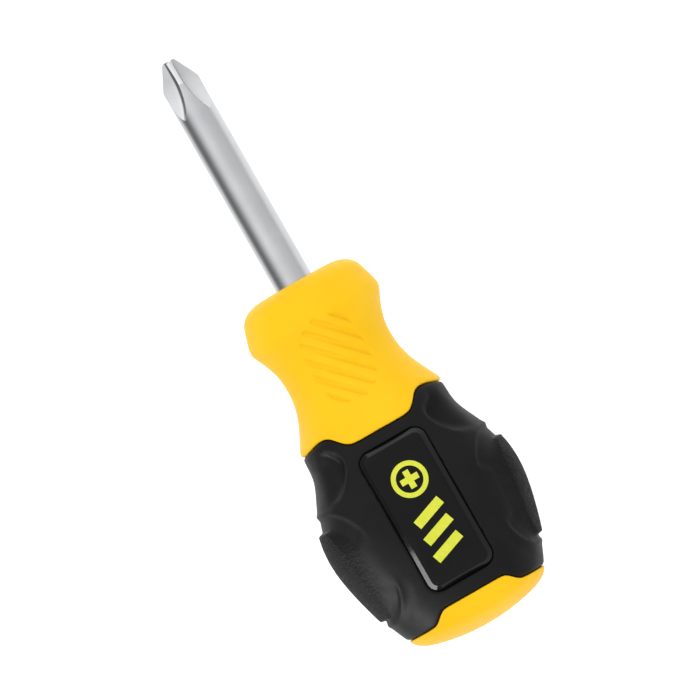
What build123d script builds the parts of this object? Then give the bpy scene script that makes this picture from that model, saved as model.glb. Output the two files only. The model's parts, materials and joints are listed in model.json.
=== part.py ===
from build123d import *
from math import asin, atan2, cos, degrees, hypot, pi, sin, tan
import os

# A stubby cross-point screwdriver, lying on its back face on a level surface.
# Each piece is drawn in the tool's own frame, in millimetres: x runs along the axis from the point
# (x = 0) to the butt, y runs across the tool, and z comes out of the upper badge. The finished
# pieces are then tipped onto the collar and the back of the grip, which is how the tool rests.

# Blade
shank_radius = 3.0
blade_out = 38.0
point_radius = 1.15
point_half_angle = 26.5
point_chamfer = 0.25
flute_count = 4
flute_root = 0.85
flute_straight = 2.5
flute_wheel_radius = 11.0
flute_half_angle = 46.0
flute_depth = 5.0
tang_radius = 2.75
tang_end = 84.0
tang_chamfer = 0.6
tang_wing_x = 64.0
tang_wing_length = 10.0
tang_wing_span = 9.4
tang_wing_thickness = 2.2

# Core moulded on the tang
core_start = 54.0
core_end = 88.0
core_radius = 6.6
core_chamfer = 1.0
core_rib_count = 6
core_rib_start = 59.0
core_rib_end = 86.0
core_rib_height = 1.3
core_rib_width = 2.2

# Collar and the front half of the neck, turned about the axis
handle_front = blade_out
collar_front_radius = 9.1
collar_front_round = 3.0
collar_x = 44.6
collar_crest = 11.15
collar_crest_round = 1.8
collar_top_x = 44.4
collar_top_radius = 11.02
neck_foot = 48.8
neck_foot_round = 7.0
waist_x = 51.6
waist_radius = 8.87

# Grip from the waist to the butt: stations of x, half width, half depth and squareness
# (2 is a true ellipse, more is squarer)
handle_end = 96.5
stations = [
    (53.6, 9.02, 9.00, 2.05),
    (57.2, 10.10, 9.90, 2.2),
    (61.0, 11.75, 11.10, 2.5),
    (65.0, 12.15, 12.30, 2.7),
    (69.0, 13.80, 13.30, 2.8),
    (73.2, 15.30, 14.04, 2.8),
    (77.4, 15.76, 14.30, 2.8),
    (81.6, 15.28, 14.15, 2.8),
    (85.8, 14.28, 13.62, 2.7),
    (90.0, 12.95, 12.72, 2.6),
    (94.0, 11.10, 11.20, 2.5),
    (97.6, 8.90, 9.10, 2.4),
]
section_points = 24
butt_dome_radius = 32.0
butt_rim_round = 2.5
# the rim to round is the long edge within this reach of the end
butt_rim_reach = 5.0
mouth_gap = 0.6
mouth_depth = 0.5

# Rubber sleeve
sleeve_thickness = 1.8
sleeve_front = 63.4
sleeve_rear = 91.4
# Each edge of the sleeve is stepped: points of half width and distance outward from the middle part
sleeve_front_steps = [(5.2, 0), (8.2, 2.8), (9.4, 2.8), (12.0, 1.8)]
sleeve_rear_steps = [(5.2, 0), (7.2, 1.4), (12.0, 1.8)]
sleeve_edge_round = 1.2
pad_height = 0.45
pad_x = 80.2
pad_length = 19.4
pad_width = 25.0
pad_corner = 7.0
pad_inner_y = 7.0
scoop_x = 67.3
scoop_y = 9.0
scoop_z = 11.05
scoop_tilt = 34.0
scoop_half_length = 4.6
scoop_half_width = 2.2
scoop_half_depth = 1.6
scoop_lift = 0.7

# Slanting grooves on the neck, inside a patch with round ends
groove_count = 7
groove_pitch = 2.0
groove_width = 0.8
groove_depth = 0.35
groove_angle = 45.0
patch_x = 51.0
patch_length = 14.0
patch_width = 9.8

# Badge plates and their printed marks
badge_x = 77.0
badge_length = 23.6
badge_width = 11.2
badge_corner = 2.0
badge_gap = 0.12
badge_bevel = 0.5
crown_x = 78.0
crown_height = 14.35
crown_radius = 45.0
peg_radius = 1.2
peg_spacing = 15.0
peg_bottom = 9.6
ink_thickness = 0.06
ring_x = 71.9
ring_outer = 2.8
ring_inner = 2.05
cross_length = 2.9
cross_width = 0.95
bar_count = 3
bar_first_x = 77.6
bar_pitch = 2.9
bar_width = 1.5
bar_length = 5.2
bar_slant = 20.0

far = 30.0


def outline(x, half_width, half_depth, squareness, inset):
    """The handle's closed cross-section at x, drawn inside the envelope by inset."""
    w = half_width - inset
    d = half_depth - inset
    points = []
    for i in range(section_points):
        a = 2 * pi * i / section_points
        r = (abs(cos(a) / w) ** squareness + abs(sin(a) / d) ** squareness) ** (-1 / squareness)
        points.append((x, r * cos(a), r * sin(a)))
    even = [i / section_points for i in range(section_points + 1)]
    return Wire([Edge.make_spline(points, periodic=True, parameters=even)])


def grip(inset):
    """The loft from the waist to behind the butt, inset from the true surface."""
    across = Plane(origin=(waist_x, 0, 0), x_dir=(0, 1, 0), z_dir=(1, 0, 0))
    waist = Wire.make_circle(waist_radius - inset, across)
    return Solid.make_loft([waist] + [outline(*s, inset) for s in stations])


def collar(inset):
    """The turned collar and neck up to the waist, inset from the true surface."""
    edge = FilletPolyline(
        (handle_front, 0),
        (handle_front, collar_front_radius - inset),
        (collar_x, collar_crest - inset),
        (neck_foot, waist_radius - inset),
        (waist_x, waist_radius - inset),
        radius=(collar_front_round, collar_crest_round, neck_foot_round),
    )
    back = Polyline((waist_x, waist_radius - inset), (waist_x, 0), (handle_front, 0))
    return revolve(make_face(edge + back), Axis.X)


def revolved(points):
    """A solid of revolution about the tool's axis, from points of x and radius."""
    return revolve(make_face(Polyline(*points, close=True)), Axis.X)


def butt_limit():
    """Everything inside the domed end of the handle."""
    dome_x = handle_end - butt_dome_radius
    barrel = Pos(dome_x - far, 0, 0) * Rot(0, 90, 0) * Cylinder(butt_dome_radius, 2 * far)
    return barrel + Pos(dome_x, 0, 0) * Sphere(butt_dome_radius)


def handle_solid():
    """The whole handle, rubber included, without its side pads."""
    rear = grip(0) & butt_limit()
    rims = [e for e in rear.edges() if e.center().X > handle_end - butt_rim_reach and e.length > far]
    return collar(0) + fillet(rims, butt_rim_round)


def blade():
    cone_length = (shank_radius - point_radius) / tan(point_half_angle * pi / 180)
    bar = revolved(
        [
            (0, 0),
            (0, point_radius - point_chamfer),
            (point_chamfer, point_radius),
            (point_chamfer + cone_length, shank_radius),
            (blade_out, shank_radius),
            (blade_out, tang_radius),
            (tang_end - tang_chamfer, tang_radius),
            (tang_end, tang_radius - tang_chamfer),
            (tang_end, 0),
        ]
    )
    for i in range(flute_count):
        bar -= Rot(45 + i * 360 / flute_count, 0, 0) * flute()
    wings = Box(tang_wing_length, tang_wing_span, tang_wing_thickness)
    wings = chamfer(wings.edges().filter_by(Axis.Z), tang_chamfer)
    return bar + Pos(tang_wing_x, 0, 0) * wings


def flute():
    """The sharp-edged cut for one flute, straight at the point and then curving out to the shank."""
    side = flute_depth * tan(flute_half_angle * pi / 180)
    top = flute_root + flute_depth
    entry = Plane.YZ * make_face(Polyline((0, flute_root), (side, top), (-side, top), close=True))
    entry = extrude(entry, far, both=True) & Pos(flute_straight - far, 0, 0) * Box(2 * far, far, far)
    rim = flute_wheel_radius
    inner = rim - flute_depth
    wheel = revolve(make_face(Polyline((rim, 0), (inner, side), (inner, -side), close=True)), Axis.Y)
    return entry + Pos(flute_straight, 0, flute_root + rim) * wheel


def tang_core():
    core = revolved(
        [
            (core_start, 0),
            (core_start, core_radius - core_chamfer),
            (core_start + core_chamfer, core_radius),
            (core_end - core_chamfer, core_radius),
            (core_end, core_radius - core_chamfer),
            (core_end, 0),
        ]
    )
    rib_length = core_rib_end - core_rib_start
    rib_reach = core_radius + core_rib_height
    rib = Pos(core_rib_start + rib_length / 2, 0, rib_reach / 2)
    rib = rib * Box(rib_length, core_rib_width, rib_reach)
    for i in range(core_rib_count):
        core += Rot(360 * i / core_rib_count, 0, 0) * rib
    return core


def sleeve_zone():
    """The block between the sleeve's two stepped edges, straight through the handle in z."""
    front = [(sleeve_front - out, y) for y, out in sleeve_front_steps]
    front.append((front[-1][0], far))
    rear = [(sleeve_rear + out, y) for y, out in sleeve_rear_steps]
    rear.append((rear[-1][0], far))
    right = front + rear[::-1]
    left = [(x, -y) for x, y in reversed(right)]
    face = make_face(Polyline(*right, *left, close=True))
    corners = [v for v in face.vertices() if abs(v.Y) < far / 2]
    return extrude(fillet(corners, sleeve_edge_round), far, both=True)


def badge_block(gap):
    """A rounded rectangle standing up through the upper badge window, smaller by gap."""
    plan = RectangleRounded(badge_length - 2 * gap, badge_width - 2 * gap, badge_corner - gap)
    return extrude(Pos(badge_x, 0, 0) * plan, far)


def crown(extra):
    """Everything under the badge's crowned top, raised by extra."""
    centre = Pos(crown_x, 0, crown_height - crown_radius)
    return centre * Rot(90, 0, 0) * Cylinder(crown_radius + extra, badge_width)


def pegs():
    reach = crown_height - peg_bottom - sleeve_thickness
    peg = Cylinder(peg_radius, reach, align=(Align.CENTER, Align.CENTER, Align.MIN))
    spots = [badge_x - peg_spacing / 2, badge_x + peg_spacing / 2]
    return [Pos(x, 0, peg_bottom) * peg for x in spots]


def badge(under_sleeve):
    plate = badge_block(badge_gap) & crown(0)
    top = plate.faces().filter_by(GeomType.CYLINDER).sort_by(SortBy.AREA)[-1]
    plate = chamfer(top.edges(), badge_bevel)
    plate -= under_sleeve
    for peg in pegs():
        plate += peg
    return plate


def printed_mark():
    ring = Circle(ring_outer) - Circle(ring_inner)
    arm = Rectangle(cross_length, cross_width)
    cross = arm + Rot(0, 0, 90) * arm
    plan = Pos(ring_x, 0, 0) * (ring + cross)
    bar = Rectangle(bar_width, bar_length)
    for i in range(bar_count):
        plan += Pos(bar_first_x + i * bar_pitch, 0, 0) * Rot(0, 0, bar_slant) * bar
    layer = crown(ink_thickness) - crown(0)
    return extrude(plan, far) & layer


def neck_grooves():
    """The slanting slots of both sides of the neck, cut no deeper than groove_depth."""
    patch = extrude(Pos(patch_x, 0, 0) * SlotOverall(patch_length, patch_width), far, both=True)
    slots = Part()
    for i in range(groove_count):
        shift = (i - (groove_count - 1) / 2) * groove_pitch
        slot = Pos(0, shift, 0) * Box(far, groove_width, 2 * far)
        slots += Pos(patch_x, 0, 0) * Rot(0, 0, groove_angle) * slot
    return (slots & patch) - collar(groove_depth) - grip(groove_depth)


def scoop(side, face):
    """One hollow at a corner of the sleeve near the neck."""
    hollow = scale(Sphere(1), by=(scoop_half_length, scoop_half_width, scoop_half_depth))
    hollow = Rot(-side * face * scoop_tilt, 0, 0) * Pos(0, 0, face * scoop_lift) * hollow
    return Pos(scoop_x, side * scoop_y, face * scoop_z) * hollow


def side_pads():
    """The raised areas on the two sides of the grip, as blocks that reach into the handle."""
    raised = grip(-pad_height)
    plan = RectangleRounded(pad_length, pad_width, pad_corner)
    block = extrude(Pos(pad_x, 0, 0) * Rot(90, 0, 0) * plan, far, both=True)
    middle = Pos(pad_x, 0, 0) * Box(2 * far, 2 * pad_inner_y, 2 * far)
    return raised & (block - middle)


def turned_over(shape):
    return Rot(180, 0, 0) * shape


def build_pieces():
    whole = handle_solid()
    under_sleeve = grip(sleeve_thickness)
    zone = sleeve_zone()
    steel = blade()
    core = tang_core()
    front_badge = badge(under_sleeve)
    front_print = printed_mark()

    sleeve = (whole & zone) + (side_pads() & zone)
    sleeve -= under_sleeve
    window = badge_block(0)
    sleeve -= window
    sleeve -= turned_over(window)
    for side in (1, -1):
        for face in (1, -1):
            sleeve -= scoop(side, face)

    mouth = Pos(handle_front, 0, 0) * Rot(0, 90, 0)
    mouth = mouth * Cylinder(shank_radius + mouth_gap, 2 * mouth_depth)
    body = whole - (zone - under_sleeve)
    body -= neck_grooves()
    body -= mouth
    body -= core
    body -= steel
    for peg in pegs():
        body -= peg
        body -= turned_over(peg)

    return {
        "blade": steel,
        "tang_core": core - steel,
        "handle_body": body,
        "grip_sleeve": sleeve,
        "front_badge": front_badge,
        "back_badge": turned_over(front_badge),
        "front_print": front_print,
        "back_print": turned_over(front_print),
    }


def lying():
    """The tilt that lays the tool on its collar and on the crowned back of the grip."""
    run = crown_x - collar_top_x
    drop = collar_top_radius - (crown_height - crown_radius)
    return degrees(asin(crown_radius / hypot(run, drop)) - atan2(drop, run))


def main():
    pieces = build_pieces()
    tilt = Rot(0, -lying(), 0)
    tipped = {name: tilt * shape for name, shape in pieces.items()}
    box = Compound(tipped.values()).bounding_box()
    middle = box.center()
    seat = Pos(-middle.X, -middle.Y, -box.min.Z)
    os.makedirs("parts", exist_ok=True)
    for name, shape in tipped.items():
        export_step(seat * shape, f"parts/{name}.step")
    print("tilt", round(lying(), 3), "seat", -middle.X, -middle.Y, -box.min.Z)


main()
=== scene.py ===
import json
import math

import bpy
import numpy as np
from mathutils import Matrix, Vector


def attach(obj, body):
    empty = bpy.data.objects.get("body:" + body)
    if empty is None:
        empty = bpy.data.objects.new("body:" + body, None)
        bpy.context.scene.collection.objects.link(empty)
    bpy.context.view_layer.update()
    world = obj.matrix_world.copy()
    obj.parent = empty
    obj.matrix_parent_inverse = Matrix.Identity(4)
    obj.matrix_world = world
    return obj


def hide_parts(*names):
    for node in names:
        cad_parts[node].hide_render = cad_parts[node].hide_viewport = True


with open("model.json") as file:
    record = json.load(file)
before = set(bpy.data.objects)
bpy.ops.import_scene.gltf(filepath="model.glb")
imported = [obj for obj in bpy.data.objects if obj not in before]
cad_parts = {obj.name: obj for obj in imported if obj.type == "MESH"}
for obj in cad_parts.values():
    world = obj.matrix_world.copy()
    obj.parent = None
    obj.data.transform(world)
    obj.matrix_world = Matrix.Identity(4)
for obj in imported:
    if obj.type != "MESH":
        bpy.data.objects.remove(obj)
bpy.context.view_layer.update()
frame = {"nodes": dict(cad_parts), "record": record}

MM = 0.001

# ------------------------------------------------------------------ the tool's own frame
# Everything below is drawn in millimetres in the tool's frame: x from the point to the butt along
# the axis, y across the grip, z out of the front badge. The record's drive point places it.
DRIVE = next(m for m in frame["record"]["mounts"] if m["name"] == "drive_point")
ORIGIN = np.array(DRIVE["pos_m"], float)
ALONG = -np.array(DRIVE["axis"], float)
ALONG /= np.linalg.norm(ALONG)
ACROSS = np.array([0.0, 1.0, 0.0])
OUTWARD = np.cross(ALONG, ACROSS)
AXES = np.stack([ALONG, ACROSS, OUTWARD])


def to_row(points):
    """Tool millimetres to metres in the row frame."""
    return ORIGIN + MM * (np.asarray(points, float) @ AXES)


def to_tool(points):
    """Metres in the row frame to tool millimetres."""
    return (np.asarray(points, float) - ORIGIN) @ AXES.T / MM


# ------------------------------------------------------------------ shape helpers
def spline(pairs):
    """A smooth function through points (x, value), held level beyond its ends."""
    x, v = np.array(pairs, float).T
    h = np.diff(x)
    n = len(x)
    a, b = np.eye(n), np.zeros(n)
    for i in range(1, n - 1):
        a[i, i - 1 : i + 2] = h[i - 1], 2 * (h[i - 1] + h[i]), h[i]
        b[i] = 6 * ((v[i + 1] - v[i]) / h[i] - (v[i] - v[i - 1]) / h[i - 1])
    m = np.linalg.solve(a, b)

    def at(q):
        """The value at q, from the two points beside it and the spline's second derivatives there."""
        q = np.clip(np.asarray(q, float), x[0], x[-1])
        i = np.clip(np.searchsorted(x, q, side="right") - 1, 0, n - 2)
        l, r, w = q - x[i], x[i + 1] - q, h[i]
        return (
            (m[i] * r**3 + m[i + 1] * l**3) / (6 * w)
            + (v[i] / w - m[i] * w / 6) * r
            + (v[i + 1] / w - m[i + 1] * w / 6) * l
        )

    return at


def ease(t):
    """0 below 0, 1 above 1, smooth between."""
    t = np.clip(t, 0, 1)
    return t * t * (3 - 2 * t)


def rounded_box(u, v, half_u, half_v, corner):
    """Distance outside a rounded rectangle, negative inside."""
    a, b = np.abs(u) - half_u + corner, np.abs(v) - half_v + corner
    return np.hypot(np.maximum(a, 0), np.maximum(b, 0)) + np.minimum(np.maximum(a, b), 0) - corner


def line_distance(x, y, line):
    """Distance from each point to a chain of straight segments."""
    best = np.full(np.shape(x), 1e9)
    for (x0, y0), (x1, y1) in zip(line[:-1], line[1:]):
        dx, dy = x1 - x0, y1 - y0
        t = np.clip(((x - x0) * dx + (y - y0) * dy) / (dx * dx + dy * dy), 0, 1)
        best = np.minimum(best, np.hypot(x - x0 - t * dx, y - y0 - t * dy))
    return best


def inside(x, y, ring):
    """True where a point lies inside a closed ring of corners."""
    hit = np.zeros(np.shape(x), bool)
    for (x0, y0), (x1, y1) in zip(ring, ring[1:] + ring[:1]):
        if y0 != y1:
            crosses = (y0 > y) != (y1 > y)
            hit ^= crosses & (x < (x1 - x0) * (y - y0) / (y1 - y0) + x0)
    return hit


# ------------------------------------------------------------------ the handle's form
WAIST = 51.6
WAIST_RADIUS = 8.87
# stations of x, half width, half depth and squareness: those of the CAD model, and two more at the
# round waist ahead of them
STATIONS = [
    (49.6, 8.97, 8.97, 2.0),
    (WAIST, WAIST_RADIUS, WAIST_RADIUS, 2.0),
    (53.6, 9.02, 9.00, 2.05),
    (57.2, 10.10, 9.90, 2.2),
    (61.0, 11.75, 11.10, 2.5),
    (65.0, 12.15, 12.30, 2.7),
    (69.0, 13.80, 13.30, 2.8),
    (73.2, 15.30, 14.04, 2.8),
    (77.4, 15.76, 14.30, 2.8),
    (81.6, 15.28, 14.15, 2.8),
    (85.8, 14.28, 13.62, 2.7),
    (90.0, 12.95, 12.72, 2.6),
    (94.0, 11.10, 11.20, 2.5),
    (97.6, 8.90, 9.10, 2.4),
]
WIDTH = spline([(s[0], s[1]) for s in STATIONS])
DEPTH = spline([(s[0], s[2]) for s in STATIONS])
SQUARE = spline([(s[0], s[3]) for s in STATIONS])
HANDLE_END = 96.5
DOME_RADIUS = 32.0
DOME_X = HANDLE_END - DOME_RADIUS
RIM_ROUND = 2.4
COLUMNS = 480
TURN = 2 * np.pi * np.arange(COLUMNS) / COLUMNS

# the rubber's two wavy edges, as x over the distance from the tool's middle plane
FRONT_EDGE = spline(
    [
        (0, 63.2),
        (3.9, 63.2),
        (4.9, 63.05),
        (6.2, 62.2),
        (7.5, 61.05),
        (8.6, 60.6),
        (9.6, 60.6),
        (10.9, 61.0),
        (12, 61.5),
    ]
)
REAR_EDGE = spline(
    [
        (0, 91.2),
        (4.2, 91.2),
        (5.2, 91.35),
        (6.3, 92.1),
        (7.3, 92.75),
        (8.6, 93.0),
        (11.5, 93.05),
    ]
)
# where along the handle each edge's distance from the middle plane is measured
FRONT_EDGE_NEAR = 62.0
REAR_EDGE_NEAR = 92.4


def radius(x, inset=0.0):
    """Distance from the axis to the handle's surface, over x and the turn angle."""
    c, s = np.abs(np.cos(TURN)), np.abs(np.sin(TURN))
    n = SQUARE(x)
    r = ((c / (WIDTH(x) - inset)) ** n + (s / (DEPTH(x) - inset)) ** n) ** (-1 / n)
    dome = np.sqrt(np.maximum((DOME_RADIUS - inset) ** 2 - np.maximum(x - DOME_X, 0) ** 2, 0))
    blend = np.maximum(RIM_ROUND - np.abs(r - dome), 0) / RIM_ROUND
    return np.minimum(r, dome) - blend**2 * RIM_ROUND / 4


def ring(x, r):
    """One ring of points round the axis."""
    x, r = np.broadcast_to(x, TURN.shape), np.broadcast_to(r, TURN.shape)
    return np.stack([x, r * np.cos(TURN), r * np.sin(TURN)], axis=1)


def edge_line(edge, near):
    """The x of a wavy edge round the handle."""
    return edge(np.abs(radius(np.full(COLUMNS, near)) * np.cos(TURN)))


FRONT_LINE = edge_line(FRONT_EDGE, FRONT_EDGE_NEAR)
REAR_LINE = edge_line(REAR_EDGE, REAR_EDGE_NEAR)


def normals_of(rings):
    """Outward normals of a stack of rings."""
    around = np.roll(rings, -1, axis=1) - np.roll(rings, 1, axis=1)
    along = np.gradient(rings, axis=0)
    n = np.cross(around, along)
    return n / np.maximum(np.linalg.norm(n, axis=2, keepdims=True), 1e-9)


def tube_faces(rows, columns, looped=False):
    """Quads between neighbouring rings."""
    r, c = np.meshgrid(np.arange(rows if looped else rows - 1), np.arange(columns), indexing="ij")
    r2, c2 = (r + 1) % rows, (c + 1) % columns
    quads = np.stack([r * columns + c, r * columns + c2, r2 * columns + c2, r2 * columns + c], axis=-1)
    return quads.reshape(-1, 4).tolist()


def closed_tube(rings):
    """Points and faces of a stack of rings, shut with a point at each end."""
    rows, columns = rings.shape[:2]
    points = np.concatenate([rings.reshape(-1, 3), rings[:1].mean(axis=1), rings[-1:].mean(axis=1)])
    faces = tube_faces(rows, columns)
    first, last = rows * columns, rows * columns + 1
    tail = (rows - 1) * columns
    for c in range(columns):
        d = (c + 1) % columns
        faces.append((first, d, c))
        faces.append((last, tail + c, tail + d))
    return points, faces


def build(name, points, faces, material, slot, sharp_degrees=40.0):
    """A mesh object from points in the tool's frame, with its finish. The slot argument is not used."""
    mesh = bpy.data.meshes.new(name)
    mesh.from_pydata(to_row(points).tolist(), [], faces)
    mesh.materials.append(material)
    mesh.update()
    obj = bpy.data.objects.new(name, mesh)
    bpy.context.scene.collection.objects.link(obj)
    smooth(mesh, sharp_degrees)
    return obj


def smooth(mesh, sharp_degrees):
    """Shades smooth, but for edges that turn by more than an angle."""
    mesh.shade_smooth()
    mesh.set_sharp_from_angle(angle=math.radians(sharp_degrees))


# ------------------------------------------------------------------ materials
# the two tones between which each finish's colour drifts
YELLOW_TONES = (0.93, 0.533, 0.008), (0.96, 0.568, 0.012)
RUBBER_TONES = (0.0062, 0.0067, 0.0064), (0.0092, 0.0098, 0.0094)
BADGE_TONES = (0.005, 0.005, 0.0056), (0.0066, 0.0066, 0.0074)
INK_TONES = (0.62, 0.66, 0.035), (0.72, 0.75, 0.055)
STEEL_TONES = (0.60, 0.61, 0.63), (0.67, 0.68, 0.69)
CORE_TONES = (0.045, 0.045, 0.05), (0.06, 0.06, 0.065)
FLOOR_TONES = (0.48, 0.48, 0.48), (0.52, 0.52, 0.52)
# noise stays mostly between these two, so they are stretched to the ends of what it drives
NOISE_LOW = 0.3
NOISE_HIGH = 0.7


def new_material(name):
    """A Principled material, its node tree, its shader and the piece's own coordinates."""
    material = bpy.data.materials.new(name)
    material.use_nodes = True
    tree = material.node_tree
    place = tree.nodes.new("ShaderNodeTexCoord").outputs["Object"]
    return material, tree, tree.nodes["Principled BSDF"], place


def noise(tree, place, size_mm, detail=3.0, roughness=0.5, stretch=None):
    """A noise texture whose features are about size_mm across."""
    texture = tree.nodes.new("ShaderNodeTexNoise")
    texture.inputs["Scale"].default_value = 1 / (size_mm * MM)
    texture.inputs["Detail"].default_value = detail
    texture.inputs["Roughness"].default_value = roughness
    if stretch:
        mapping = tree.nodes.new("ShaderNodeMapping")
        mapping.inputs["Scale"].default_value = stretch
        tree.links.new(place, mapping.inputs["Vector"])
        place = mapping.outputs["Vector"]
    tree.links.new(place, texture.inputs["Vector"])
    return texture.outputs["Fac"]


def spread(tree, value, low, high, start=NOISE_LOW, end=NOISE_HIGH):
    """Maps a value between start and end onto low to high."""
    node = tree.nodes.new("ShaderNodeMapRange")
    node.inputs["From Min"].default_value = start
    node.inputs["From Max"].default_value = end
    node.inputs["To Min"].default_value = low
    node.inputs["To Max"].default_value = high
    tree.links.new(value, node.inputs["Value"])
    return node.outputs["Result"]


def vary_colour(tree, shader, tones, value):
    """Lets the base colour drift between two tones."""
    ramp = tree.nodes.new("ShaderNodeValToRGB")
    for stop, position, tone in zip(ramp.color_ramp.elements, (NOISE_LOW, NOISE_HIGH), tones):
        stop.position = position
        stop.color = (*tone, 1)
    tree.links.new(value, ramp.inputs["Fac"])
    tree.links.new(ramp.outputs["Color"], shader.inputs["Base Color"])


def vary_roughness(tree, shader, low, high, value):
    """Lets the roughness drift between two values."""
    tree.links.new(spread(tree, value, low, high), shader.inputs["Roughness"])


def bump(tree, shader, height, depth_mm, below=None, strength=None):
    """Fine relief on top of the relief below it, faded by a strength where one is given."""
    node = tree.nodes.new("ShaderNodeBump")
    node.inputs["Distance"].default_value = depth_mm * MM
    node.inputs["Strength"].default_value = 1.0
    if strength is not None:
        tree.links.new(strength, node.inputs["Strength"])
    tree.links.new(height, node.inputs["Height"])
    if below is not None:
        tree.links.new(below, node.inputs["Normal"])
    tree.links.new(node.outputs["Normal"], shader.inputs["Normal"])
    return node.outputs["Normal"]


def yellow_plastic():
    """Satin moulded plastic: a faint orange peel under a finer grain."""
    material, tree, shader, place = new_material("yellow_plastic")
    vary_colour(tree, shader, YELLOW_TONES, noise(tree, place, 9.0, 2.0))
    vary_roughness(tree, shader, 0.4, 0.52, noise(tree, place, 1.6))
    shader.inputs["Specular IOR Level"].default_value = 0.1
    peel = bump(tree, shader, noise(tree, place, 0.9, 1.0), 0.012)
    bump(tree, shader, noise(tree, place, 0.16, 2.0), 0.004, peel)
    return material


STIPPLE_CELL = 0.42
STIPPLE_BUMP = 0.16


def black_rubber():
    """Matte rubber, rougher and pebbled where the mesh carries the stipple of a pad."""
    material, tree, shader, place = new_material("black_rubber")
    vary_colour(tree, shader, RUBBER_TONES, noise(tree, place, 6.0, 4.0, 0.6))
    shader.inputs["Specular IOR Level"].default_value = 0.12
    attribute = tree.nodes.new("ShaderNodeAttribute")
    attribute.attribute_name = "stipple"
    pad = attribute.outputs["Fac"]
    rough = tree.nodes.new("ShaderNodeMath")
    rough.operation = "ADD"
    tree.links.new(spread(tree, pad, 0.52, 0.66, 0.0, 1.0), rough.inputs[0])
    tree.links.new(spread(tree, noise(tree, place, 2.2, 4.0), -0.05, 0.05), rough.inputs[1])
    tree.links.new(rough.outputs[0], shader.inputs["Roughness"])
    skin = bump(tree, shader, noise(tree, place, 0.25, 2.0), 0.01)
    cells = tree.nodes.new("ShaderNodeTexVoronoi")
    cells.inputs["Scale"].default_value = 1 / (STIPPLE_CELL * MM)
    tree.links.new(place, cells.inputs["Vector"])
    on_pads = spread(tree, pad, 0.0, 0.9, 0.0, 1.0)
    bump(tree, shader, cells.outputs["Distance"], STIPPLE_BUMP, skin, on_pads)
    return material


def badge_plastic(name, specular, low, high):
    """Black moulded plastic, its gloss between two roughnesses."""
    material, tree, shader, place = new_material(name)
    vary_colour(tree, shader, BADGE_TONES, noise(tree, place, 4.0, 3.0))
    shader.inputs["Specular IOR Level"].default_value = specular
    vary_roughness(tree, shader, low, high, noise(tree, place, 1.2, 5.0, 0.6))
    bump(tree, shader, noise(tree, place, 0.8, 1.0), 0.003)
    return material


def print_ink():
    """Printed ink, slightly uneven in colour and thickness."""
    material, tree, shader, place = new_material("print_ink")
    vary_colour(tree, shader, INK_TONES, noise(tree, place, 0.7, 4.0, 0.6))
    vary_roughness(tree, shader, 0.42, 0.58, noise(tree, place, 0.4))
    shader.inputs["Specular IOR Level"].default_value = 0.35
    bump(tree, shader, noise(tree, place, 0.12, 2.0), 0.008)
    return material


def plated_steel():
    """Satin plated steel, brushed along the tool."""
    material, tree, shader, place = new_material("plated_steel")
    shader.inputs["Metallic"].default_value = 1.0
    shader.inputs["Anisotropic"].default_value = 0.35
    vary_colour(tree, shader, STEEL_TONES, noise(tree, place, 5.0, 3.0))
    scratch = noise(tree, place, 0.5, 4.0, 0.65, stretch=(0.06, 1.0, 1.0))
    vary_roughness(tree, shader, 0.13, 0.24, scratch)
    bump(tree, shader, scratch, 0.006)
    return material


def core_plastic():
    """The unseen core's plain black plastic."""
    material, tree, shader, place = new_material("core_plastic")
    vary_colour(tree, shader, CORE_TONES, noise(tree, place, 3.0, 3.0))
    vary_roughness(tree, shader, 0.45, 0.6, noise(tree, place, 1.0))
    bump(tree, shader, noise(tree, place, 0.3, 2.0), 0.01)
    return material


YELLOW = yellow_plastic()
RUBBER = black_rubber()
BADGE = badge_plastic("badge_plastic", 0.12, 0.42, 0.52)
BADGE_BEVEL = badge_plastic("badge_bevel", 0.24, 0.1, 0.16)
INK = print_ink()
STEEL = plated_steel()
CORE = core_plastic()


# ------------------------------------------------------------------ yellow handle body
# the collar's and the neck's section, x and radius, from the mouth to the waist
COLLAR = [
    (38.0, 4.1),
    (38.03, 5.2),
    (38.2, 7.0),
    (38.55, 8.1),
    (39.1, 8.98),
    (39.9, 9.66),
    (41.3, 10.2),
    (42.8, 10.66),
    (43.7, 10.86),
    (44.5, 10.86),
    (45.2, 10.63),
    (46.0, 10.24),
    (47.3, 9.67),
    (48.8, 9.18),
    (50.3, 8.92),
    (WAIST, WAIST_RADIUS),
]
# the hole's mouth round the shank, from inside to the front face
MOUTH = [(38.8, 2.0), (38.75, 3.05), (38.6, 3.35), (38.3, 3.48), (38.1, 3.6), (38.02, 3.8)]
# how far the body lies under the sleeve's surface
UNDER_SLEEVE = 1.86
# how the body's edge rolls down into the seam: distance short of the wavy line, depth
SEAM_ROLL = [(0.12, 0.06), (0.03, 0.2), (0.0, 0.5), (0.0, 1.3), (-0.1, UNDER_SLEEVE)]
# the soft crest beside the seam: its height, its place and spread behind the line, and where it ends
SEAM_CREST = 0.16
SEAM_CREST_BACK = 0.75
SEAM_CREST_SPREAD = 0.8
SEAM_CREST_END = 0.45
# the last ring stays this far short of the pole
POLE_GAP = 0.0005
COLLAR_ROWS = 110
NECK_ROWS = 72
HIDDEN_ROWS = 14
BUTT_ROWS = 60
GROOVE_PITCH = 2.0
GROOVE_DEPTH = 0.34
GROOVE_FLAT = 0.12
GROOVE_WALL = 0.42
GROOVE_RUN_OUT = 0.45
GROOVES_EACH_SIDE = 3
PATCH_X = 51.0
PATCH_HALF_LENGTH = 7.0
PATCH_HALF_WIDTH = 4.9


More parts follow.
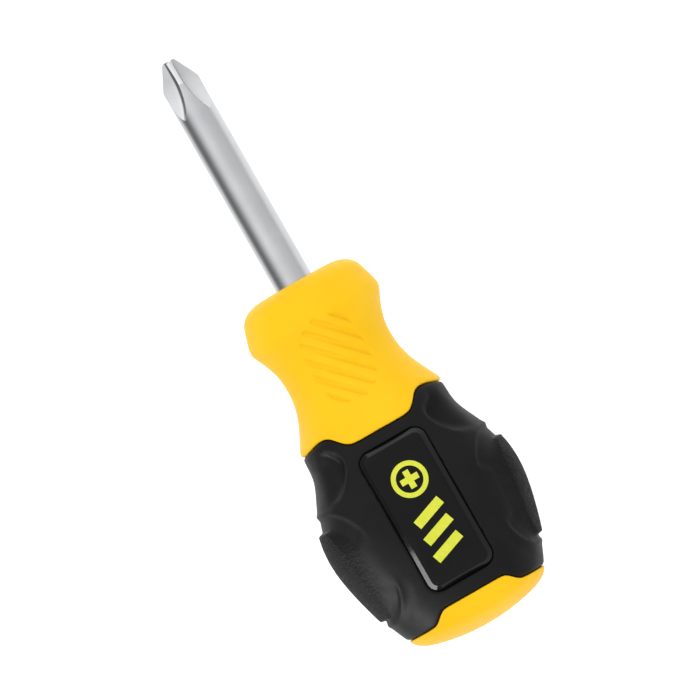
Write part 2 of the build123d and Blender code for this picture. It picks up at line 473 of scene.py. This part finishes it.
def groove_relief(x, y, z):
    """Depth of the slanting grooves, the same on the front and, turned over, on the back."""
    y = np.where(z > 0, y, -y)
    step = (y - (x - PATCH_X)) / math.sqrt(2) / GROOVE_PITCH
    nearest = np.clip(np.round(step), -GROOVES_EACH_SIDE, GROOVES_EACH_SIDE)
    off = np.abs(step - nearest) * GROOVE_PITCH
    edge = rounded_box(x - PATCH_X, y, PATCH_HALF_LENGTH, PATCH_HALF_WIDTH, PATCH_HALF_WIDTH)
    section = 1 - ease((off - GROOVE_FLAT) / GROOVE_WALL)
    return -GROOVE_DEPTH * section * ease(-edge / GROOVE_RUN_OUT) * (np.abs(z) > 2)


def yellow_body():
    """The yellow moulding: mouth, collar, grooved neck, the part under the sleeve, and the domed butt."""
    x, r = np.array(COLLAR).T
    s = np.concatenate([[0], np.cumsum(np.hypot(np.diff(x), np.diff(r)))])
    along, out = spline(list(zip(s, x))), spline(list(zip(s, r)))
    rings = [ring(x, r) for x, r in MOUTH]
    rings += [ring(along(t), out(t)) for t in np.linspace(0, s[-1], COLLAR_ROWS)]
    roll = SEAM_ROLL[0][0]
    for t in np.linspace(0, 1, NECK_ROWS)[1:-1]:
        x = WAIST + (FRONT_LINE - roll - WAIST) * t
        short = FRONT_LINE - x
        crest = SEAM_CREST * np.exp(-(((short - SEAM_CREST_BACK) / SEAM_CREST_SPREAD) ** 2))
        crest *= 1 - ease((SEAM_CREST_END - short) / SEAM_CREST_END)
        rings.append(ring(x, radius(x) + crest))
    outer = len(rings)
    for short, drop in SEAM_ROLL:
        x = FRONT_LINE - short
        rings.append(ring(x, radius(x) - drop))
    hidden = -SEAM_ROLL[-1][0]
    for t in np.linspace(0, 1, HIDDEN_ROWS)[1:-1]:
        x = FRONT_LINE + hidden + (REAR_LINE - FRONT_LINE - 2 * hidden) * t
        rings.append(ring(x, radius(x, UNDER_SLEEVE)))
    for short, drop in SEAM_ROLL[::-1]:
        x = REAR_LINE + short
        rings.append(ring(x, radius(x) - drop))
    for t in np.linspace(0, 1, BUTT_ROWS)[1:]:
        x = REAR_LINE + roll + (HANDLE_END - POLE_GAP - REAR_LINE - roll) * np.sin(t * np.pi / 2)
        rings.append(ring(x, radius(x)))
    rings = np.array(rings)
    n = normals_of(rings)
    x, y, z = np.moveaxis(rings[:outer], 2, 0)
    rings[:outer] += n[:outer] * groove_relief(x, y, z)[..., None]
    body = build("handle_shell", *closed_tube(rings), YELLOW, "yellow_plastic")
    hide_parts("handle_body")
    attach(body, "root")


# ------------------------------------------------------------------ rubber sleeve
SLEEVE_THICKNESS = 1.78
SLEEVE_SINK = 0.05
SLEEVE_ROWS = 168
# how the sleeve's edge rolls down: distance from the wavy line, depth
SLEEVE_EDGE = [(0.12, 0.3), (0.06, 0.6), (0.06, SLEEVE_THICKNESS)]
EDGE_SETBACK = 0.26
EDGE_ROUND = 0.3
EDGE_DROP = 0.12
# each pad's crest and stippled field: middle x, then half length, half width round the grip and corner
PAD_ARC_RADIUS = 14.4
CREST_X = 79.9
CREST_BOX = (9.7, 13.5, 6.5)
STIPPLE_X = 80.65
STIPPLE_BOX = (8.15, 11.8, 5.2)
# the pad's relief: a shallow dish inside the crest, the crest at its two ends, and the raised field,
# whose walls are steep at the ends and drawn out by PAD_FADE along the middle and past the shoulder
PAD_MIDDLE = (74.5, 85.5)
PAD_MIDDLE_EASE = 3
PAD_DISH = 0.30
PAD_DISH_WALL = 0.9
PAD_CREST = 0.14
PAD_CREST_SPREAD = 0.42
PAD_RISE = 0.72
PAD_WALL = 0.55
PAD_FADE = 3.2
PAD_SHOULDER = 6.5
PAD_SHOULDER_EASE = 3.5
# the dip outside the crest near the butt: depth, place, spread, and where along and round it begins
REAR_DIP = 0.15
REAR_DIP_OUT = 1.1
REAR_DIP_SPREAD = 0.8
REAR_DIP_FROM = (84, 8)
REAR_DIP_EASE = 3
GRIT_SEED = 7
GRIT_DEPTH = 0.06
GRIT_WALL = 0.6
# how the stipple of the rubber's finish fades in from the edge of the raised field
STIPPLE_WALL = 0.8
STIPPLE_FADE = 2.6
# the scoop at each corner: its depth, the widths of its wall toward the badge and of its soft side,
# and the raised rim on the wall, which begins at HOLLOW_RIM_FROM
HOLLOW_DEPTH = 1.6
HOLLOW_WALL = 1.9
HOLLOW_FADE = 3.4
HOLLOW_RIM = 0.09
HOLLOW_RIM_SPREAD = 0.6
HOLLOW_RIM_FROM = 62
HOLLOW_RIM_EASE = 3
# the scoop's outline, x and distance from the middle plane: the wall toward the badge, then the rest
HOLLOW_INNER = [
    (61.7, 7.8),
    (62.9, 6.95),
    (64.2, 6.65),
    (65.4, 6.8),
    (66.6, 7.35),
    (67.8, 8.2),
    (69.0, 9.3),
    (69.9, 10.5),
    (70.3, 11.7),
]
HOLLOW_OUTER = [
    (70.3, 11.7),
    (69.6, 12.5),
    (67.8, 12.1),
    (65.6, 11.6),
    (63.6, 11.1),
    (61.9, 10.3),
    (61.2, 9.0),
    (61.7, 7.8),
]
BADGE_X = 77.0
BADGE_HALF_LENGTH = 11.8
BADGE_HALF_WIDTH = 5.6
BADGE_CORNER = 2.0
RIM_RADIUS = 0.35
WINDOW_DEPTH = 1.5
PLUG_TOP = 20.0
CROWN_X = 78.0
CROWN_HEIGHT = 14.35
CROWN_RADIUS = 45.0


def crown(x):
    """Height of the badges' crowned faces above the axis."""
    return CROWN_HEIGHT - CROWN_RADIUS + np.sqrt(CROWN_RADIUS**2 - (x - CROWN_X) ** 2)


def pad_distances(x, y, z):
    """Distance to the pad's crest line and to its stippled area, negative inside."""
    q = PAD_ARC_RADIUS * np.arctan2(np.abs(z), np.abs(y))
    crest = rounded_box(x - CREST_X, q, *CREST_BOX)
    stipple = rounded_box(x - STIPPLE_X, q, *STIPPLE_BOX)
    return q, crest, stipple


def rubber_relief(x, y, z):
    """Height of the rubber above the plain grip: dished pads with crests, corner scoops and window rims."""
    q, crest, stipple = pad_distances(x, y, z)
    middle = ease((x - PAD_MIDDLE[0]) / PAD_MIDDLE_EASE) * ease((PAD_MIDDLE[1] - x) / PAD_MIDDLE_EASE)
    shoulder = ease((q - PAD_SHOULDER) / PAD_SHOULDER_EASE)
    h = -PAD_DISH * ease(-crest / (PAD_DISH_WALL + PAD_FADE * middle))
    h += PAD_CREST * (1 - middle) * np.exp(-((crest / PAD_CREST_SPREAD) ** 2))
    h += PAD_RISE * ease(-stipple / (PAD_WALL + PAD_FADE * shoulder))
    behind = ease((x - REAR_DIP_FROM[0]) / REAR_DIP_EASE) * ease((q - REAR_DIP_FROM[1]) / REAR_DIP_EASE)
    h -= REAR_DIP * behind * np.exp(-(((crest - REAR_DIP_OUT) / REAR_DIP_SPREAD) ** 2))
    v = np.abs(y)
    hollow = inside(x, v, HOLLOW_INNER + HOLLOW_OUTER[1:-1])
    rim = line_distance(x, v, HOLLOW_INNER)
    fade = ease(line_distance(x, v, HOLLOW_OUTER) / HOLLOW_FADE)
    h -= np.where(hollow, HOLLOW_DEPTH * ease(rim / HOLLOW_WALL) * fade, 0)
    raised = ease((x - HOLLOW_RIM_FROM) / HOLLOW_RIM_EASE)
    h += HOLLOW_RIM * np.exp(-((rim / HOLLOW_RIM_SPREAD) ** 2)) * raised
    gap = rounded_box(x - BADGE_X, y, BADGE_HALF_LENGTH, BADGE_HALF_WIDTH, BADGE_CORNER)
    near = np.clip(RIM_RADIUS - gap, 0, RIM_RADIUS)
    h -= RIM_RADIUS - np.sqrt(RIM_RADIUS**2 - near**2)
    return h


# points along half an end, round a corner and along half a side, and the least corner radius
LEAST_CORNER = 0.02
END_STEPS = 17
CORNER_STEPS = 13
SIDE_STEPS = 37


def outline(half_length, half_width, corner):
    """A rounded rectangle's points, counted from the middle of its right end and evenly both ways."""
    corner = max(corner, LEAST_CORNER)
    quarter = []
    for t in np.linspace(0, 1, END_STEPS)[:-1]:
        quarter.append((half_length, t * (half_width - corner)))
    for a in np.linspace(0, math.pi / 2, CORNER_STEPS):
        x = half_length - corner + corner * math.cos(a)
        quarter.append((x, half_width - corner + corner * math.sin(a)))
    for t in np.linspace(0, 1, SIDE_STEPS)[1:]:
        quarter.append(((half_length - corner) * (1 - t), half_width))
    top = quarter + [(-x, y) for x, y in quarter[-2::-1]]
    return np.array(top + [(x, -y) for x, y in top[-2:0:-1]])


def pair_faces(start, count, flip):
    """Faces that shut a ring symmetric about its length."""
    half = count // 2
    faces = [(start, start + 1, start + count - 1)]
    for i in range(1, half - 1):
        faces.append((start + i, start + i + 1, start + count - i - 1, start + count - i))
    faces.append((start + half - 1, start + half, start + half + 1))
    return [f[::-1] for f in faces] if flip else faces


def window_cutter():
    """A plug for each badge window, whose inner end follows the badge's crown."""
    plan = outline(BADGE_HALF_LENGTH, BADGE_HALF_WIDTH, BADGE_CORNER)
    x, y = plan[:, 0] + BADGE_X, plan[:, 1]
    count = len(plan)
    points, faces = [], []
    for side in (1, -1):
        start = len(points) * count
        points.append(np.column_stack([x, side * y, side * (crown(x) - WINDOW_DEPTH)]))
        points.append(np.column_stack([x, side * y, np.full(count, side * PLUG_TOP)]))
        faces += [tuple(start + i for i in face) for face in tube_faces(2, count)]
        faces += pair_faces(start, count, True)
        faces += pair_faces(start + count, count, False)
    return build("window_cutter", np.concatenate(points), faces, RUBBER, "black_rubber")


def cut(obj, cutter):
    """Cuts one object out of another for good, and removes the cutter."""
    modifier = obj.modifiers.new("cut", "BOOLEAN")
    modifier.operation = "DIFFERENCE"
    modifier.solver = "EXACT"
    modifier.object = cutter
    graph = bpy.context.evaluated_depsgraph_get()
    mesh = bpy.data.meshes.new_from_object(obj.evaluated_get(graph))
    obj.modifiers.clear()
    old, obj.data = obj.data, mesh
    mesh.name = obj.name
    bpy.data.meshes.remove(old)
    bpy.data.objects.remove(cutter)


def rubber_sleeve():
    """The rubber overmould as one closed shell, with a pocket for each badge."""
    rng = np.random.default_rng(GRIT_SEED)
    rings = []
    for t in np.linspace(0, 1, SLEEVE_ROWS):
        x = FRONT_LINE + EDGE_SETBACK + (REAR_LINE - FRONT_LINE - 2 * EDGE_SETBACK) * t
        edge = np.minimum(x - FRONT_LINE, REAR_LINE - x) - EDGE_SETBACK
        drop = EDGE_DROP * (1 - ease(edge / EDGE_ROUND)) ** 2
        rings.append(ring(x, radius(x) - SLEEVE_SINK - drop))
    rings = np.array(rings)
    n = normals_of(rings)
    x, y, z = np.moveaxis(rings, 2, 0)
    h = rubber_relief(x, y, z)
    grit = ease(-pad_distances(x, y, z)[2] / GRIT_WALL) * rng.uniform(-GRIT_DEPTH, 0.0, x.shape)
    rings += n * (h + grit)[..., None]
    shell = list(rings)
    for behind, drop in SLEEVE_EDGE:
        x = REAR_LINE - behind
        shell.append(ring(x, radius(x) - drop))
    inner = SLEEVE_EDGE[-1][0]
    for t in np.linspace(1, 0, HIDDEN_ROWS)[1:-1]:
        x = FRONT_LINE + inner + (REAR_LINE - FRONT_LINE - 2 * inner) * t
        shell.append(ring(x, radius(x, SLEEVE_THICKNESS)))
    for ahead, drop in SLEEVE_EDGE[::-1]:
        x = FRONT_LINE + ahead
        shell.append(ring(x, radius(x) - drop))
    shell = np.array(shell)
    faces = tube_faces(len(shell), COLUMNS, looped=True)
    sleeve = build("sleeve_shell", shell.reshape(-1, 3), faces, RUBBER, "black_rubber")
    cut(sleeve, window_cutter())
    mesh = sleeve.data
    smooth(mesh, 40.0)
    co = np.zeros(len(mesh.vertices) * 3, np.float32)
    mesh.vertices.foreach_get("co", co)
    x, y, z = to_tool(co.reshape(-1, 3)).T
    q, _, stipple = pad_distances(x, y, z)
    shoulder = ease((q - PAD_SHOULDER) / PAD_SHOULDER_EASE)
    pad = ease(-stipple / (STIPPLE_WALL + STIPPLE_FADE * shoulder))
    attribute = mesh.attributes.new("stipple", "FLOAT", "POINT")
    attribute.data.foreach_set("value", pad.astype(np.float32))
    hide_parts("grip_sleeve")
    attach(sleeve, "root")
    return sleeve


# ------------------------------------------------------------------ badges
# the plate's section from its foot to its face: distance in from the window's edge, depth below the crown
PLATE_PROFILE = [
    (0.16, 1.44),
    (0.16, 0.9),
    (0.16, 0.68),
    (0.19, 0.6),
    (0.27, 0.53),
    (0.42, 0.42),
    (0.58, 0.3),
    (0.74, 0.175),
    (0.86, 0.08),
    (0.94, 0.03),
    (1.02, 0.02),
    (1.09, 0.055),
    (1.17, 0.055),
    (1.24, 0.015),
    (1.34, 0.0),
]
# the rows of faces that make the bevel, and the insets of the rings across the face
BEVEL_ROWS = range(3, 9)
FACE_INSETS = np.linspace(1.7, 5.45, 9)


def badge_plate(name, side, node):
    """The plate in one window: seam, rounded bevel, fine groove and crowned face."""
    profile = PLATE_PROFILE + [(inset, 0.0) for inset in FACE_INSETS]
    points = []
    for inset, drop in profile:
        plan = outline(BADGE_HALF_LENGTH - inset, BADGE_HALF_WIDTH - inset, BADGE_CORNER - inset)
        x = plan[:, 0] + BADGE_X
        points.append(np.column_stack([x, side * plan[:, 1], side * (crown(x) - drop)]))
    count = len(points[0])
    faces = tube_faces(len(points), count)
    faces += pair_faces(0, count, True)
    faces += pair_faces((len(points) - 1) * count, count, False)
    plate = build(name, np.concatenate(points), faces, BADGE, "badge_plastic", 50.0)
    plate.data.materials.append(BADGE_BEVEL)
    for face in plate.data.polygons[BEVEL_ROWS.start * count : BEVEL_ROWS.stop * count]:
        face.material_index = 1
    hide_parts(node)
    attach(plate, "root")
    return plate


# ------------------------------------------------------------------ blade
SHANK_RADIUS = 3.0
POINT_RADIUS = 1.15
POINT_CHAMFER = 0.22
POINT_HALF_ANGLE = 26.5
FLUTE_ROOT = 0.85
FLUTE_WHEEL = 11.0
FLUTE_STRAIGHT = 2.5
FLUTE_HALF_ANGLE = 48.0
FLUTE_ROOT_ROUND = 0.28
LEAST_FLANK = 0.2
FLANK_STEPS = 14
LAND_STEPS = 10
BISECTIONS = 30
FLUTED_TO = 9.4
SHANK_OUT = 38.0
SHANK_END = 38.7
SHOULDER = 0.05
TANG_RADIUS = 2.75
TANG_END = 84.0
TANG_CHAMFER = 0.6
CONE_ROWS = 34
FLUTED_ROWS = 50
SHANK_ROWS = 60


def blade_ring(x, body):
    """One ring of the point: four flutes cut into a round body, with a column on each edge."""
    slope = 1 / math.tan(math.radians(FLUTE_HALF_ANGLE))
    root = FLUTE_ROOT + FLUTE_WHEEL - math.sqrt(FLUTE_WHEEL**2 - max(x - FLUTE_STRAIGHT, 0) ** 2)

    def height(off):
        """Distance of the flute's wall from the axis, off to the side of the flute's middle."""
        return root + slope * (math.hypot(off, FLUTE_ROOT_ROUND) - FLUTE_ROOT_ROUND)

    low, high = 0.0, body
    for _ in range(BISECTIONS):
        middle = (low + high) / 2
        if math.hypot(middle, height(middle)) < body:
            low = middle
        else:
            high = middle
    flank = [max(low, LEAST_FLANK) * i / (FLANK_STEPS - 1) for i in range(FLANK_STEPS)]
    half = [(math.atan2(off, height(off)), min(math.hypot(off, height(off)), body)) for off in flank]
    half += [(a, body) for a in np.linspace(half[-1][0], math.pi / 4, LAND_STEPS)[1:]]
    points = []
    for flute in range(4):
        middle = math.pi / 4 + flute * math.pi / 2
        sector = [(middle - a, r) for a, r in half[::-1]] + [(middle + a, r) for a, r in half[1:-1]]
        points += [(x, r * math.cos(a), r * math.sin(a)) for a, r in sector]
    return points


def blade():
    """The steel bar: chamfered and coned point with its flutes, round shank, and tang."""
    taper = SHANK_RADIUS - POINT_RADIUS
    cone_end = POINT_CHAMFER + taper / math.tan(math.radians(POINT_HALF_ANGLE))
    shape = [(0.0, 0.3), (0.0, POINT_RADIUS - POINT_CHAMFER)]
    shape += [(t * POINT_CHAMFER, POINT_RADIUS - (1 - t) * POINT_CHAMFER) for t in (0.5, 1.0)]
    for t in np.linspace(0, 1, CONE_ROWS)[1:]:
        shape.append((POINT_CHAMFER + (cone_end - POINT_CHAMFER) * t, POINT_RADIUS + taper * t))
    shape += [(x, SHANK_RADIUS) for x in np.linspace(cone_end, FLUTED_TO, FLUTED_ROWS)[1:]]
    shape += [(x, SHANK_RADIUS) for x in np.linspace(FLUTED_TO, SHANK_OUT, SHANK_ROWS)[1:]]
    shape += [(SHANK_END, SHANK_RADIUS), (SHANK_END + SHOULDER, TANG_RADIUS)]
    shape += [(TANG_END - TANG_CHAMFER, TANG_RADIUS), (TANG_END, TANG_RADIUS - TANG_CHAMFER)]
    rings = np.array([blade_ring(min(x, FLUTED_TO), r) for x, r in shape])
    rings[:, :, 0] = np.array([x for x, r in shape])[:, None]
    steel = build("blade_bar", *closed_tube(rings), STEEL, "plated_steel", 28.0)
    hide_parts("blade")
    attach(steel, "root")


def dress(node, material):
    """Gives a CAD node its finish."""
    obj = frame["nodes"][node]
    obj.data.materials.clear()
    obj.data.materials.append(material)
    smooth(obj.data, 30.0)


yellow_body()
SLEEVE = rubber_sleeve()
PLATES = [badge_plate("front_plate", 1, "front_badge"), badge_plate("back_plate", -1, "back_badge")]
blade()
dress("front_print", INK)
dress("back_print", INK)
dress("tang_core", CORE)


# ------------------------------------------------------------------ stage, light and camera
FLOOR_RADIUS = 3.0
FLOOR_GLOW = 0.85
FLOOR_CLOUD = 400.0
FLOOR_SIDES = 96
BACKDROP_FOOT = -0.01


def stage_mesh(name, points, faces):
    """A pale matte piece of the studio, which glows so that it stays white."""
    material, tree, shader, place = new_material(name)
    vary_colour(tree, shader, FLOOR_TONES, noise(tree, place, FLOOR_CLOUD, 2.0))
    shader.inputs["Roughness"].default_value = 0.9
    shader.inputs["Specular IOR Level"].default_value = 0.1
    shader.inputs["Emission Color"].default_value = (1.0, 1.0, 1.0, 1.0)
    shader.inputs["Emission Strength"].default_value = FLOOR_GLOW
    mesh = bpy.data.meshes.new(name)
    mesh.from_pydata(points, [], faces)
    mesh.materials.append(material)
    obj = bpy.data.objects.new(name, mesh)
    bpy.context.scene.collection.objects.link(obj)
    return obj


def floor():
    """A round floor inside a wall, neither of which the tool's gloss mirrors."""
    count = FLOOR_SIDES
    turn = [2 * math.pi * i / count for i in range(count)]
    edge = [(FLOOR_RADIUS * math.cos(a), FLOOR_RADIUS * math.sin(a), 0.0) for a in turn]
    disc = stage_mesh("floor", edge, [tuple(range(count))])
    disc.visible_glossy = False
    wall = [(x, y, z) for z in (BACKDROP_FOOT, FLOOR_RADIUS) for x, y, _ in edge]
    faces = [(i, count + i, count + (i + 1) % count, (i + 1) % count) for i in range(count)]
    backdrop = stage_mesh("backdrop", wall, faces)
    backdrop.visible_glossy = False
    backdrop.visible_diffuse = False
    backdrop.visible_shadow = False


def in_row(x, y, z):
    """A direction given in the tool's frame."""
    return Vector(x * ALONG + y * ACROSS + z * OUTWARD).normalized()


SKY_STRENGTH = 1.6
# brightness over the turn about the tool's axis, as a share of it, from underneath by the left side
# and overhead
SKY_TURN = [
    (0.0, 0.69),
    (0.14, 0.6),
    (0.195, 0.25),
    (0.235, 0.12),
    (0.265, 0.13),
    (0.3, 0.18),
    (0.345, 0.37),
    (0.385, 0.53),
    (0.43, 0.61),
    (0.5, 0.55),
    (0.56, 0.48),
    (0.7, 0.42),
    (0.735, 0.49),
    (0.77, 0.62),
    (0.86, 0.69),
]
SKY_RISE_AHEAD = 0.6


def world_light():
    """A soft sky of long bands beside the tool, dark low on its left and brighter ahead of the point."""
    world = bpy.data.worlds.new("studio")
    bpy.context.scene.world = world
    world.use_nodes = True
    tree = world.node_tree
    sky = tree.nodes.new("ShaderNodeTexCoord").outputs["Generated"]

    def share(direction):
        """How much of the view's direction lies along another."""
        node = tree.nodes.new("ShaderNodeVectorMath")
        node.operation = "DOT_PRODUCT"
        node.inputs[1].default_value = direction
        tree.links.new(sky, node.inputs[0])
        return node.outputs["Value"]

    turn = tree.nodes.new("ShaderNodeMath")
    turn.operation = "ARCTAN2"
    tree.links.new(share(ACROSS), turn.inputs[0])
    tree.links.new(share(OUTWARD), turn.inputs[1])
    ramp = tree.nodes.new("ShaderNodeValToRGB")
    round_tool = spread(tree, turn.outputs[0], 0.0, 1.0, -math.pi, math.pi)
    tree.links.new(round_tool, ramp.inputs["Fac"])
    elements = ramp.color_ramp.elements
    elements.remove(elements[-1])
    for position, value in SKY_TURN:
        stop = elements[0] if position == 0 else elements.new(position)
        stop.color = (value, value, value, 1)
    background = tree.nodes["Background"]
    tree.links.new(ramp.outputs["Color"], background.inputs["Color"])
    ahead = SKY_STRENGTH * (1 + SKY_RISE_AHEAD)
    strength = spread(tree, share(-ALONG), SKY_STRENGTH, ahead, 0.0, 1.0)
    tree.links.new(strength, background.inputs["Strength"])


# each softbox: the point of the tool that it faces, the direction from there in the tool's frame,
# its distance and size in metres, and its watts
OVERHEAD = {
    "target": (60.0, 0.0, 0.0),
    "direction": (0.4, -0.45, 0.85),
    "distance": 1.2,
    "size": (1.4, 1.4),
    "energy": 6.0,
}
STRIP = {
    "target": (85.0, 0.0, CROWN_HEIGHT),
    "direction": (0.57, -0.82, 0.1),
    "distance": 0.2,
    "size": (0.22, 0.09),
    "energy": 0.72,
}


def soft_light(name, target, direction, distance, size, energy):
    """A rectangular softbox that faces a point of the tool and isn't seen itself."""
    direction = in_row(*direction)
    light = bpy.data.lights.new(name, "AREA")
    light.shape = "RECTANGLE"
    light.size, light.size_y = size
    light.energy = energy
    obj = bpy.data.objects.new(name, light)
    bpy.context.scene.collection.objects.link(obj)
    obj.location = Vector(to_row(target)) + direction * distance
    obj.rotation_euler = direction.to_track_quat("Z", "Y").to_euler()
    obj.visible_camera = False
    return obj


def studio_lights():
    """A broad light overhead, and a strip low on the left that draws the bevel and the grip's crests."""
    overhead = soft_light("overhead", **OVERHEAD)
    overhead.visible_glossy = False
    strip = soft_light("strip", **STRIP)
    strip.visible_diffuse = False
    # the strip is flagged off everything but the sleeve and the plates
    lit = bpy.data.collections.new("lit_by_strip")
    for piece in [SLEEVE, *PLATES]:
        lit.objects.link(piece)
    strip.light_linking.receiver_collection = lit


# The camera looks down on the front badge, turned a little about the tool's axis. The picture's
# width and centre are in millimetres at the tool, its distance in metres and its angles in degrees.
FRAME_WIDTH = 104.4776
CENTRE_X = 50.87
CENTRE_ACROSS = 2.30
CAMERA_DISTANCE = 2.4
CAMERA_ROLL = 2.0
AXIS_ANGLE = 29.715
SENSOR_WIDTH = 36.0


def camera():
    """The camera at the photograph's angle, with the tool leaning to the left."""
    roll, lean = math.radians(CAMERA_ROLL), math.radians(AXIS_ANGLE)
    back = OUTWARD * math.cos(roll) - ACROSS * math.sin(roll)
    sideways = ACROSS * math.cos(roll) + OUTWARD * math.sin(roll)
    right = ALONG * math.sin(lean) + sideways * math.cos(lean)
    up = -ALONG * math.cos(lean) + sideways * math.sin(lean)
    centre = ORIGIN + MM * (CENTRE_X * ALONG + CENTRE_ACROSS * sideways)
    data = bpy.data.cameras.new("camera")
    data.sensor_width = SENSOR_WIDTH
    data.lens = SENSOR_WIDTH * CAMERA_DISTANCE / (FRAME_WIDTH * MM)
    data.clip_start, data.clip_end = 0.1, 20.0
    obj = bpy.data.objects.new("camera", data)
    bpy.context.scene.collection.objects.link(obj)
    place = Matrix([[*v, 0] for v in zip(right, up, back)] + [[0, 0, 0, 1]])
    place.translation = Vector(centre + back * CAMERA_DISTANCE)
    obj.matrix_world = place
    bpy.context.scene.camera = obj


floor()
world_light()
studio_lights()
camera()
bpy.context.scene.view_settings.view_transform = "Standard"
bpy.context.scene.view_settings.look = "None"
